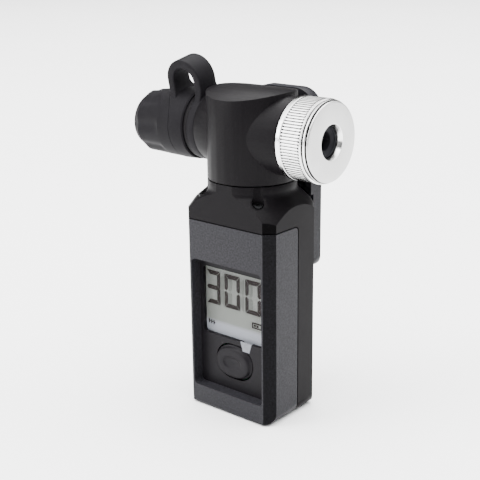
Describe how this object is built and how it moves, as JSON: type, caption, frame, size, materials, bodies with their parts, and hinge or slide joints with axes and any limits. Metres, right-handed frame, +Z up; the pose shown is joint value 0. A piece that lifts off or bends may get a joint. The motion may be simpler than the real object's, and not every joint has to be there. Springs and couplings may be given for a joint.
{
  "type": "digital tyre and suspension pressure gauge",
  "caption": "Hand-held pressure gauge with display, knurled valve chuck, capped inlet stem and rear air release lever, used between a pump and a valve",
  "frame": {"origin": "middle of the flat foot, on the upright axis of the round head", "axes": "+Z up through the body, +X out of the valve chuck, -Y out of the display"},
  "size_m": [0.0613, 0.0278, 0.0951],
  "materials": {
    "shell_plastic": "fine textured moulded plastic",
    "housing_plastic": "smooth satin moulded plastic",
    "panel_plastic": "smooth satin",
    "clear_lens": "clear polycarbonate",
    "lcd": "grey green liquid crystal glass",
    "foil": "white reflective foil",
    "zebra_rubber": "soft striped elastomer",
    "board": "green solder mask",
    "steel": "plain steel",
    "screw_steel": "dark plated steel",
    "brass": "turned brass",
    "knob_aluminium": "turned, knurled and bead blasted",
    "seal_rubber": "black nitrile rubber",
    "cap_rubber": "matt soft rubber",
    "selector_plastic": "dark moulded plastic"
  },
  "bodies": {
    "gauge_body": {"rear_housing": "housing_plastic", "front_cover": "shell_plastic", "display_panel": "panel_plastic", "lcd_window": "clear_lens", "lcd_glass": "lcd", "lcd_backing": "foil", "zebra_strips": "zebra_rubber", "circuit_board": "board", "dome_switch": "steel", "coin_cell": "steel", "battery_contacts": "brass", "battery_door": "housing_plastic", "battery_door_seal": "seal_rubber", "pressure_sensor": "steel", "sensor_seal": "seal_rubber", "riser_tube": "brass", "neck_seal": "seal_rubber", "neck_circlip": "steel", "shoulder_screws": "screw_steel", "back_screws": "screw_steel", "head_housing": "housing_plastic", "manifold_core": "brass", "chuck_barrel": "knob_aluminium", "knob_circlip": "steel", "depressor_pin": "brass", "inlet_stem": "brass", "valve_core": "brass", "strap_ring": "cap_rubber", "lever_pin": "steel", "release_seat": "brass", "selector_spring": "steel", "core_spring": "steel", "plunger_spring": "steel"},
    "knob": {"chuck_knob": "knob_aluminium", "chuck_grommet": "seal_rubber"},
    "selector": {"valve_selector": "selector_plastic"},
    "button": {"mode_button": "panel_plastic"},
    "pin": {"core_pin": "steel"},
    "cap": {"dust_cap": "cap_rubber", "cap_strap": "cap_rubber"},
    "lever": {"release_lever": "shell_plastic"},
    "plunger": {"release_plunger": "steel", "plunger_seal": "seal_rubber"}
  },
  "joints": [
    {"name": "knob_turn", "type": "hinge", "parent": "gauge_body", "child": "knob", "pos_m": [0.0203, 0, 0.0764], "axis": [1, 0, 0], "continuous": true},
    {"name": "selector_slide", "type": "slide", "parent": "gauge_body", "child": "selector", "axis": [-1, 0, 0], "range_m": [0, 0.005], "stiffness_N_per_m": 600, "deforming": ["selector_spring"]},
    {"name": "button_press", "type": "slide", "parent": "gauge_body", "child": "button", "axis": [0, 1, 0], "range_m": [0, 0.0006], "stiffness_N_per_m": 2500},
    {"name": "core_pin_press", "type": "slide", "parent": "gauge_body", "child": "pin", "axis": [1, 0, 0], "range_m": [0, 0.0015], "stiffness_N_per_m": 800, "deforming": ["core_spring"]},
    {"name": "cap_pull", "type": "slide", "parent": "gauge_body", "child": "cap", "axis": [-1, 0, 0], "range_m": [0, 0.016], "deforming": ["cap_strap"]},
    {"name": "lever_press", "type": "hinge", "parent": "gauge_body", "child": "lever", "pos_m": [0, 0.0137, 0.083], "axis": [-1, 0, 0], "range_deg": [0, 3], "stiffness_Nm_per_rad": 0.3},
    {"name": "plunger_slide", "type": "slide", "parent": "gauge_body", "child": "plunger", "axis": [0, -1, 0], "range_m": [0, 0.00047], "deforming": ["plunger_spring"]}
  ],
  "couplings": [
    {"joint": "plunger_slide", "follows": "lever_press", "m_per_rad": 0.0088}
  ]
}
